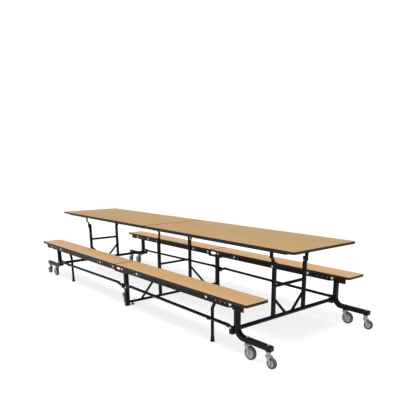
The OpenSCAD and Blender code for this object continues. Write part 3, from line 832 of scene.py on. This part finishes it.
class WeldBead(Growth):
    """Runs a rippled weld bead along closed loops of edges."""

    NAME = "weld bead"
    INPUTS = {"Radius": "NodeSocketFloat", "Step": "NodeSocketFloat", "Ripple": "NodeSocketFloat"}

    def fill(self, graph: Graph, inputs: dict) -> NodeSocket:
        """Sweeps a circle along the loops and ripples it.

        Args:
            graph: The tree's graph.
            inputs: The tree's input sockets by name.

        Returns:
            The geometry.
        """
        line = graph.out("GeometryNodeMeshToCurve", Mesh=inputs["Geometry"])
        spaced = graph.add("GeometryNodeResampleCurve", {"mode": "LENGTH"}, Curve=line, Length=inputs["Step"])
        ring = graph.out("GeometryNodeCurvePrimitiveCircle", Resolution=6, Radius=inputs["Radius"])
        bead = graph.out("GeometryNodeCurveToMesh", Curve=spaced.outputs[0], Profile_Curve=ring)
        place = graph.out("GeometryNodeInputPosition")
        waves = graph.out("ShaderNodeTexNoise", Vector=place, Scale=260.0, Detail=1.0)
        swell = graph.math("MULTIPLY", graph.math("SUBTRACT", waves, 0.5), inputs["Ripple"])
        normal = graph.out("GeometryNodeInputNormal")
        out = graph.out("ShaderNodeVectorMath", {"operation": "SCALE"}, normal, Scale=swell)
        moved = graph.out("GeometryNodeSetPosition", Geometry=bead, Offset=out)
        return graph.out("GeometryNodeSetShadeSmooth", Geometry=moved)

    def build(self, name: str, loops: list[list[Vector]], body: str, radius: float = 2.2 * MM) -> None:
        """Makes the beads as a plain mesh and puts them on their body.

        Args:
            name: The piece's name.
            loops: The points of each closed loop.
            body: The body it moves with.
            radius: Half the width of a bead.
        """
        points, edges = [], []
        for loop in loops:
            base = len(points)
            points.extend(loop)
            edges.extend((base + i, base + (i + 1) % len(loop)) for i in range(len(loop)))
        carrier = bpy.data.meshes.new(name)
        carrier.from_pydata(points, edges, [])
        piece = self.grow(carrier, Radius=radius, Step=radius * 1.3, Ripple=radius * 0.9,
                          Material=POWDER_COAT.material())
        hand_over(piece, body, POWDER_COAT)


# Sub-assemblies


def dome_bolt(head: float, dome: float, rise: float, washer: float) -> BMesh:
    """A domed bolt head on a washer, standing on the origin.

    Args:
        head: The washer's radius.
        dome: The dome's radius.
        rise: The dome's height above the washer.
        washer: The washer's thickness.

    Returns:
        The mesh.
    """
    rim = washer * 0.3
    profile = [(0, 0), (head - rim, 0), (head, rim), (head, washer - rim), (head - rim, washer),
               (dome, washer), (dome, washer + rise * 0.25), (dome * 0.93, washer + rise * 0.55),
               (dome * 0.72, washer + rise * 0.85), (dome * 0.4, washer + rise), (0, washer + rise * 1.04)]
    return revolve(profile, 28)


def hex_nut(across: float, height: float, stud: float, stud_rise: float) -> BMesh:
    """A chamfered hexagon nut with its stud, standing on the origin.

    Args:
        across: Half the distance across the flats.
        height: The nut's height.
        stud: The stud's radius.
        stud_rise: How far the stud stands above the nut.

    Returns:
        The mesh.
    """
    corner = across / math.cos(math.pi / 6)
    chamfer = (corner - across) * 0.6
    turns = [2 * math.pi * i / 24 for i in range(24)]
    work = bmesh.new()
    rings = []
    for reach, z in ((across, 0.0), (corner, chamfer), (corner, height - chamfer), (across, height)):
        radii = [min(across / math.cos(a % (math.pi / 3) - math.pi / 6), reach) for a in turns]
        rings.append([work.verts.new((r * math.cos(a), r * math.sin(a), z)) for r, a in zip(radii, turns)])
    for cap in (rings[0][::-1], rings[-1]):
        work.faces.new(cap)
    bridge(work, rings)
    sunk = height - 1 * MM
    return revolve([(0, sunk), (stud, sunk), (stud, height + stud_rise * 0.75),
                    (stud * 0.8, height + stud_rise), (0, height + stud_rise)], 18, work)


def mm(points: Iterable[tuple[float, float]], across: float = 0.0, up: float = 0.0) -> Section:
    """Turns section points in millimetres into metres, counted from a place."""
    return [(across + x * MM, up + y * MM) for x, y in points]


@dataclass
class Assembly:
    """A sub-assembly of one half and one side of the table."""

    half: Half = Half.RIGHT
    side: Side = Side.FAR

    @property
    def tail(self) -> str:
        """The end of its nodes', bodies' and pieces' names."""
        return f"{self.side.word}_{self.half.word}"


@dataclass
class Board:
    """A laminate board with its black edge band: a table half or a seat."""

    length: float
    width: float
    corner: float
    top: float
    thickness: float = 19 * MM
    middle: float = 0.0
    seam: float = 5 * MM
    band: float = 4 * MM
    lip: float = 1.2 * MM
    crown: float = 0.5 * MM
    corner_steps: int = 10
    lip_steps: int = 4

    def outline(self) -> list[Vector]:
        """Makes the board's outer edge.

        Returns:
            Its points, anticlockwise, at the board's middle height.
        """
        half, x = self.width / 2, self.length - self.corner
        flat = [(self.seam, -half), *arc((x, self.corner - half), self.corner, -90, 0, self.corner_steps),
                *arc((x, half - self.corner), self.corner, 0, 90, self.corner_steps), (self.seam, half)]
        return [Vector((x, self.middle + y, self.top - self.thickness / 2)) for x, y in flat]

    def band_profile(self) -> Section:
        """Makes the edge band's section: a shallow dome between two rounded lips.

        Returns:
            How far out and up each point is.
        """
        half, out = self.thickness / 2, -self.lip - self.crown
        return [(-self.band, half), (-self.band, -half),
                *arc((out, self.lip - half), self.lip, -90, 0, self.lip_steps),
                (-self.crown * 0.35, -half * 0.55), (0.0, -half * 0.2),
                (0.0, half * 0.2), (-self.crown * 0.35, half * 0.55),
                *arc((out, half - self.lip), self.lip, 0, 90, self.lip_steps)]

    def edge_band(self) -> BMesh:
        """Runs the band's section round the outline with mitred corners.

        Returns:
            The closed mesh.
        """
        work, path = bmesh.new(), self.outline()
        rings = []
        for i, point in enumerate(path):
            before = (point - path[i - 1]).normalized()
            after = (path[(i + 1) % len(path)] - point).normalized()
            out = Vector((before.y + after.y, -before.x - after.x, 0)).normalized()
            stretch = 1 / max(out.dot(Vector((before.y, -before.x, 0))), 0.3)
            rings.append([work.verts.new(point + out * (d * stretch) + Z_AXIS * h)
                          for d, h in self.band_profile()])
        bridge(work, rings + rings[:1])
        return work

    def dress(self, board: str, band: str, body: str, finish: Finish, half: Half) -> None:
        """Builds the board's two pieces.

        Args:
            board: The board's CAD node.
            band: The edge band's CAD node.
            body: The body that both ride on.
            finish: The board's laminate.
            half: Which half it is on.
        """
        soften(board, body, finish, 0.4 * MM)
        piece = piece_from(f"{band}_band", mirrored(self.edge_band(), half, Side.FAR), EDGE_VINYL)
        hand_over(piece, body, EDGE_VINYL, band)


@dataclass
class TableHalf(Assembly):
    """One table half: board, edge band, steel rails, screws and hanging brackets."""

    board: Board = field(default_factory=lambda: Board(1.829, 0.711, 0.024, 0.737))
    rail_inset: float = 55 * MM
    rail_under: float = 702 * MM
    plate_under: float = 714 * MM
    screw_start: float = 60 * MM
    screw_pitch: float = 205 * MM
    screw_count: int = 8
    cross_rails: tuple[float, ...] = (33 * MM, 776 * MM, 1439 * MM)
    cross_screws: tuple[float, ...] = (-0.21, -0.07, 0.07, 0.21)
    bracket_screws: tuple = ((1.480, 0.228), (1.480, 0.254), (1.520, 0.228), (1.520, 0.254))
    arm_screws: tuple = ((0.179, 0.122), (0.179, 0.148), (0.208, 0.122), (0.208, 0.148))

    def dress(self) -> None:
        """Builds every piece of the half."""
        word = self.half.word
        body = f"table_{word}"
        self.board.dress(f"table_top_{word}", f"table_edge_{word}", body, TABLE_LAMINATE, self.half)
        for name in ("table_rails", "table_brackets"):
            soften(f"{name}_{word}", body, POWDER_COAT)
        places = [(Vector((self.half.value * x, y, z)), DOWN) for x, y, z in self.screws()]
        head = dome_bolt(5.2 * MM, 4.6 * MM, 1.8 * MM, 0.6 * MM)
        FastenerField().build(f"rail_screws_{word}", head, places, body)

    def screws(self) -> list[tuple[float, float, float]]:
        """Places the pan-head screws of the side rails, cross rails, brackets and bent arm.

        Returns:
            Their places on the right half.
        """
        reach = self.board.width / 2 - self.rail_inset
        rows = [self.screw_start + i * self.screw_pitch for i in range(self.screw_count)]
        return [*((x, side.value * reach, self.rail_under) for side in Side for x in rows),
                *((x, y, self.rail_under) for x in self.cross_rails for y in self.cross_screws),
                *((x, side.value * y, self.plate_under) for side in Side for x, y in self.bracket_screws),
                *((x, self.half.value * y, self.plate_under) for x, y in self.arm_screws)]


@dataclass
class Bench(Assembly):
    """One bench half: seat board, edge band, channels and fasteners."""

    board: Board = field(default_factory=lambda: Board(1.722, 0.214, 0.016, 0.417, middle=0.570))
    pin_height: float = 0.380
    face: float = 75 * MM
    shank: float = 5 * MM
    bolts: tuple[float, ...] = (0.083, 0.340, 1.281, 1.536)
    rivets: tuple[float, ...] = (0.290, 0.390, 1.386, 1.436, 1.486)
    rivet_drop: float = 4 * MM

    def dress(self) -> None:
        """Builds the seat and its channels, large domed bolts with their shanks, and small rivets."""
        body, node = f"bench_{self.tail}", f"bolts_{self.tail}"
        middle = self.board.middle * self.side.value
        board = replace(self.board, middle=middle)
        board.dress(f"seat_{self.tail}", f"seat_edge_{self.tail}", body, BENCH_LAMINATE, self.half)
        soften(f"channels_{self.tail}", body, POWDER_COAT, 0.9 * MM)
        faces = [(middle + way * self.face, Y_AXIS * way) for way in (-1, 1)]
        head = dome_bolt(13 * MM, 8.6 * MM, 2.4 * MM, 1.5 * MM)
        FastenerField().build(f"{node}_heads", head, self.row(self.bolts, faces), body, node)
        head = dome_bolt(4.0 * MM, 3.6 * MM, 2.0 * MM, 0.5 * MM)
        rivets = self.row(self.rivets, faces, self.rivet_drop)
        FastenerField().build(f"{node}_rivets", head, rivets, body)
        across = 2 * self.face
        shank = revolve([(0, 0), (self.shank, 0), (self.shank, across), (0, across)], 20)
        shanks = self.row(self.bolts, [(middle - self.face, Y_AXIS)])
        FastenerField().build(f"{node}_shanks", shank, shanks, body)

    def row(self, line: Iterable[float], faces: list[tuple[float, Vector]],
            drop: float = 0.0) -> list[tuple[Vector, Vector]]:
        """Places fasteners along the channels.

        Args:
            line: How far along the bench each one is.
            faces: The Y and the way out of each face that has them.
            drop: How far below the pins they are.

        Returns:
            Each fastener's place and the way it points.
        """
        z = self.pin_height - drop
        return [(Vector((self.half.value * x, y, z)), aim) for x in line for y, aim in faces]


@dataclass
class Stretchers:
    """The four long stretcher tubes and the near bench's prop legs."""

    foot_radius: float = 17.5 * MM
    foot_height: float = 42 * MM
    tube_radius: float = 12.5 * MM
    sleeve: float = 2.2 * MM
    ribs: int = 3
    foot_place: tuple[float, float, float] = (1.235, 0.548, 0.0)

    def dress(self) -> None:
        """Builds the stretchers, prop legs and prop feet."""
        for half in Half:
            for side in Side:
                node = f"stretcher_{side.word}_{half.word}"
                soften(node, f"{node}_link", POWDER_COAT)
            body = f"prop_{half.word}"
            soften(f"prop_leg_{half.word}", body, POWDER_COAT)
            work = revolve(self.foot_profile(), 40)
            bmesh.ops.translate(work, verts=work.verts, vec=self.foot_place)
            piece = piece_from(f"prop_foot_{half.word}_rubber", mirrored(work, half, Side.NEAR), BLACK_RUBBER)
            hand_over(piece, body, BLACK_RUBBER, f"prop_foot_{half.word}")

    def foot_profile(self) -> Section:
        """Makes the section of a ribbed rubber foot with its sleeve.

        Returns:
            Radius and height of each point.
        """
        r, h, outer = self.foot_radius, self.foot_height, self.tube_radius + self.sleeve
        profile = [(0, 0), *mm([(-3, 0), (-1, 1), (0, 3), (0, 9), (-0.8, 11)], r)]
        for i in range(self.ribs):
            profile += mm([(0, 0), (0, 2.2), (-1, 2.8), (-1, 4)], r - (1.4 + 1.1 * i) * MM, (14 + 5 * i) * MM)
        return [*profile, (outer, 32 * MM), *mm([(0, -1), (-0.8, 0)], outer, h),
                *mm([(0.1, 0), (0.1, -6)], self.tube_radius, h), (0, h - 6 * MM)]


@dataclass
class EndFrame(Assembly):
    """An end frame: welded beam, uprights and braces, bent legs and their hardware."""

    truss_x: float = 1.500
    beam_z: float = 0.176
    beam_r: float = 16 * MM
    bead_sink: float = 1.5 * MM
    upright_y: float = 0.175
    upright_half: float = 12.5 * MM
    rail_z: float = 0.417
    rail_r: float = 12.5 * MM
    brace_r: float = 11 * MM
    brace_top: float = 0.325
    brace_foot: float = 0.030
    nut_seat: float = 154.1 * MM
    arm_y: float = 0.570

    def dress(self) -> None:
        """Builds every piece of the end frame: steel, arm caps, pins, caster nuts and welds."""
        word = self.half.word
        body = f"end_frame_{word}"
        for name in ("end_truss", "legs"):
            soften(f"{name}_{word}", body, POWDER_COAT)
        soften(f"arm_caps_{word}", body, BLACK_PLASTIC, 2 * MM)
        soften(f"end_hardware_{word}", body, ZINC, 0.8 * MM)
        nut = hex_nut(8.5 * MM, 6.6 * MM, 5.5 * MM, 3.4 * MM)
        places = [(Vector((self.half.value * row.value, side.value * self.arm_y, self.nut_seat)), Z_AXIS)
                  for row in Row for side in Side]
        FastenerField().build(f"caster_nuts_{word}", nut, places, body, spin=math.pi / 3)
        WeldBead().build(f"end_frame_welds_{word}", self.welds(), body)

    def welds(self) -> list[list[Vector]]:
        """Finds where the frame's tubes meet: rail, brace heads and brace feet.

        Returns:
            The points of each closed loop.
        """
        x, r = self.half.value * self.truss_x, self.brace_r
        lean = Vector((0, self.upright_y - self.brace_foot, self.brace_top - self.beam_z)).normalized()
        rise = self.brace_top - self.upright_half * lean.z / lean.y
        foot = self.brace_foot + self.beam_r * lean.y / lean.z
        top = self.beam_z + self.beam_r - self.bead_sink
        loops = []
        for side in Side:
            inner = side.value * (self.upright_y - self.upright_half)
            loops += [ring_points(Vector((x, inner, self.rail_z)), X_AXIS, Z_AXIS, self.rail_r, self.rail_r),
                      ring_points(Vector((x, inner, rise)), X_AXIS, Z_AXIS, r, r / abs(lean.y)),
                      ring_points(Vector((x, side.value * foot, top)), X_AXIS, Y_AXIS, r, r / lean.z)]
        return loops


@dataclass
class CentreFrame:
    """The lifting frame in the middle with its two posts."""

    body: str = "centre_frame"
    upright_y: float = 0.187
    upright_half: float = 12.5 * MM
    rail_z: float = 0.348
    rail_r: float = 11 * MM

    def dress(self) -> None:
        """Builds every piece of the centre frame."""
        for node, finish, width in (("centre_truss", POWDER_COAT, SOFT_EDGE),
                                    ("centre_posts", POWDER_COAT, SOFT_EDGE),
                                    ("centre_feet", BLACK_PLASTIC, 1.8 * MM),
                                    ("centre_hardware", ZINC, 0.8 * MM)):
            soften(node, self.body, finish, width)
        inner = self.upright_y - self.upright_half
        loops = [ring_points(Vector((0, side.value * inner, self.rail_z)), X_AXIS, Z_AXIS, self.rail_r,
                             self.rail_r) for side in Side]
        WeldBead().build("centre_frame_welds", loops, self.body)


@dataclass
class Caster(Assembly):
    """A swivel caster: fork, raceway, axle bolt, hub and tyre."""

    row: Row = Row.INNER
    wheel_radius: float = 48.5 * MM
    arm_y: float = 0.570
    trail: float = 30 * MM
    tyre_half: float = 14 * MM
    tyre_depth: float = 14 * MM
    shoulder: float = 6 * MM
    fork_half: float = 19 * MM
    raceway_top: float = 115.5 * MM
    rib_count: int = 8
    rib_width: float = 2.2 * MM
    rib_bevel: float = 0.5 * MM

    def dress(self) -> None:
        """Builds the caster's swivelling and rolling pieces."""
        tail = f"{self.row.word}_{self.tail}"
        swivel, roller = f"swivel_{tail}", f"roller_{tail}"
        soften(f"fork_{tail}", swivel, PRESSED_ZINC, 0.9 * MM)
        stem = Vector((self.half.value * self.row.value, self.side.value * self.arm_y, 0))
        axle = stem + Vector((self.half.value * self.trail, 0, self.wheel_radius))
        race = revolve(self.raceway_profile(), 40)
        bmesh.ops.translate(race, verts=race.verts, vec=stem)
        hand_over(piece_from(f"raceway_{tail}", race, PRESSED_ZINC), swivel, PRESSED_ZINC)
        faces = [(axle + Y_AXIS * (way * self.fork_half), Y_AXIS * way) for way in (-1, 1)]
        nut = hex_nut(6.5 * MM, 4.6 * MM, 4 * MM, 1.6 * MM)
        FastenerField().build(f"axle_nuts_{tail}", nut, faces, swivel, spin=math.pi / 3)
        upright = Matrix.Translation(axle) @ Matrix.Rotation(math.pi / 2, 4, "X")
        for name, profile, steps, finish, nodes in (
                ("tyre", self.tyre_profile(), 56, TYRE_RUBBER, [f"wheel_{tail}"]),
                ("hub", self.hub_profile(), 48, HUB_PLASTIC, [])):
            work = revolve(profile, steps)
            bmesh.ops.transform(work, matrix=upright, verts=work.verts)
            hand_over(piece_from(f"{name}_{tail}", work, finish), roller, finish, *nodes)
        turns = [2 * math.pi * i / self.rib_count for i in range(self.rib_count)]
        places = [(axle.copy(), Vector((math.cos(a), 0, math.sin(a)))) for a in turns]
        FastenerField().build(f"hub_ribs_{tail}", self.rib(), places, roller, finish=HUB_PLASTIC, spin=0.0)

    def raceway_profile(self) -> Section:
        """The section of the pressed swivel bearing."""
        return mm([(0, -12), (14, -12), (17.5, -11), (19, -9), (19, -6.6), (17.6, -6), (17.6, -5.2),
                   (19.4, -4.6), (19.4, -2.4), (17, -0.8), (12, 0), (0, 0)], up=self.raceway_top)

    def tyre_profile(self) -> Section:
        """Makes the section of the tyre: crowned tread, round shoulders and a grooved sidewall.

        Returns:
            Radius and height of each point, back to the first.
        """
        r, half, turn = self.wheel_radius, self.tyre_half, self.shoulder
        shoulder = arc((half - turn, r - turn - 0.6 * MM), turn, 0, 80, 5)
        right = [*mm([(0, -2), (2, -0.6), (4, -0.6), (5, -1.4), (6, -0.4)], r - self.tyre_depth, half),
                 *((y, x) for x, y in shoulder), (r - 0.15 * MM, half - 9.5 * MM)]
        ring = [*right, (r, 0.0), *((x, -y) for x, y in reversed(right))]
        return [*ring, ring[0]]

    def hub_profile(self) -> Section:
        """Makes the section of the hub: rim, dished web and boss, bored for the axle.

        Returns:
            Radius and height of each point, back to the first.
        """
        rim, half = self.wheel_radius - self.tyre_depth - 0.02 * MM, self.tyre_half
        side = [*mm([(4.1, -1), (8.5, -1), (9.5, -2), (10, -7)], up=half),
                *mm([(-5, -8), (-3.4, -3), (-2.6, -1.6), (0, -1.6)], rim, half)]
        return [*side, *((x, -y) for x, y in reversed(side)), side[0]]

    def rib(self) -> BMesh:
        """Makes one bar across the hub's dish on both faces, from the boss to the rim.

        Returns:
            The mesh, pointing along +Z.
        """
        inner, outer = 9.5 * MM, self.wheel_radius - self.tyre_depth - 3.2 * MM
        size = (self.rib_width, 2 * (self.tyre_half - 3.2 * MM), outer - inner)
        work = bmesh.new()
        bmesh.ops.create_cube(work, size=1)
        bmesh.ops.scale(work, vec=size, verts=work.verts)
        bmesh.ops.translate(work, verts=work.verts, vec=(0, 0, (inner + outer) / 2))
        bmesh.ops.bevel(work, geom=work.edges, offset=self.rib_bevel, segments=1, affect="EDGES")
        return work


@dataclass
class Studio:
    """The pale floor, the soft lamps and the camera of the photograph."""

    azimuth: float = 48.89
    elevation: float = 14.80
    place: tuple[float, float, float] = (3.718, -2.626, 1.276)
    focal_px: float = 458.8
    centre_px: tuple[float, float] = (221.4, 287.3)
    image_px: float = 416.0
    sensor_mm: float = 36.0
    floor_half: float = 30.0
    sky: float = 0.50
    sun: float = 1.72
    sun_spread: float = 18.0
    floor_glow: float = 0.78
    floor_seen: Tone = (166, 166, 166)
    floor_lit: Tone = (214, 214, 214)
    lamp_tilt: tuple[float, float] = (15.0, 12.0)

    @staticmethod
    def seen(graph: Graph, *rays: str) -> NodeSocket:
        """Marks the kinds of ray that see the white surroundings.

        Args:
            graph: The graph to build in.
            rays: The kinds of ray.

        Returns:
            A value that is 1 for those rays and 0 for others.
        """
        path = graph.add("ShaderNodeLightPath")
        total = path.outputs[f"Is {rays[0]} Ray"]
        for kind in rays[1:]:
            total = graph.math("MAXIMUM", total, path.outputs[f"Is {kind} Ray"])
        return total

    def build(self) -> None:
        """Builds the whole studio."""
        self.camera()
        self.floor()
        self.lights()
        bpy.context.scene.view_settings.view_transform = "Standard"

    def camera(self) -> None:
        """Places the camera as the photograph was taken."""
        data = bpy.data.cameras.new("camera")
        data.sensor_width = self.sensor_mm
        data.lens = self.focal_px / self.image_px * self.sensor_mm
        half = self.image_px / 2
        data.shift_x = (half - self.centre_px[0]) / self.image_px
        data.shift_y = (self.centre_px[1] - half) / self.image_px
        data.clip_end = 100.0
        camera = shown("camera", data)
        camera.location = self.place
        camera.rotation_euler = (math.radians(90 - self.elevation), 0, math.radians(self.azimuth))
        bpy.context.scene.camera = camera

    def floor(self) -> None:
        """Lays the pale floor, which looks white and keeps the object's shadow."""
        work = bmesh.new()
        bmesh.ops.create_grid(work, x_segments=2, y_segments=2, size=self.floor_half)
        mesh = bpy.data.meshes.new("floor")
        work.to_mesh(mesh)
        work.free()
        floor = shown("floor", mesh)
        material = bpy.data.materials.new("pale floor")
        material.use_nodes = True
        graph = Graph(material.node_tree)
        shader = material.node_tree.nodes["Principled BSDF"]
        seen = self.seen(graph, "Camera", "Glossy", "Transmission")
        for label, value in (
                ("Base Color", graph.mix(seen, linear(*self.floor_lit), linear(*self.floor_seen))),
                ("Emission Color", (1.0, 1.0, 1.0, 1.0)), ("Roughness", 0.9), ("Specular IOR Level", 0.1),
                ("Emission Strength", graph.math("MULTIPLY", seen, self.floor_glow))):
            graph.feed(shader.inputs[label], value)
        mesh.materials.append(material)

    def lights(self) -> None:
        """Sets a pale even sky and one wide soft lamp."""
        world = bpy.data.worlds.new("studio")
        bpy.context.scene.world = world
        world.use_nodes = True
        graph = Graph(world.node_tree)
        background = world.node_tree.nodes["Background"]
        seen = self.seen(graph, "Camera", "Transmission")
        graph.feed(background.inputs["Strength"], graph.ramp(seen, 0.0, 1.0, self.sky, 1.0))
        graph.feed(background.inputs["Color"], (1.0, 1.0, 1.0, 1.0))
        data = bpy.data.lights.new("soft lamp", "SUN")
        data.energy = self.sun
        data.angle = math.radians(self.sun_spread)
        lamp = shown("soft lamp", data)
        lamp.rotation_euler = (*map(math.radians, self.lamp_tilt), 0)


def main() -> None:
    """Builds the studio and every sub-assembly in order."""
    logging.basicConfig(level=logging.INFO, format="%(name)s: %(message)s")
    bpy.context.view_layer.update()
    Studio().build()
    for half in Half:
        TableHalf(half).dress()
        for side in Side:
            Bench(half, side).dress()
        EndFrame(half).dress()
    Stretchers().dress()
    CentreFrame().dress()
    for half in Half:
        for side in Side:
            Caster(half, side, Row.INNER, 48.5 * MM).dress()
            Caster(half, side, Row.OUTER, 38 * MM).dress()


if __name__ == "__main__":
    main()
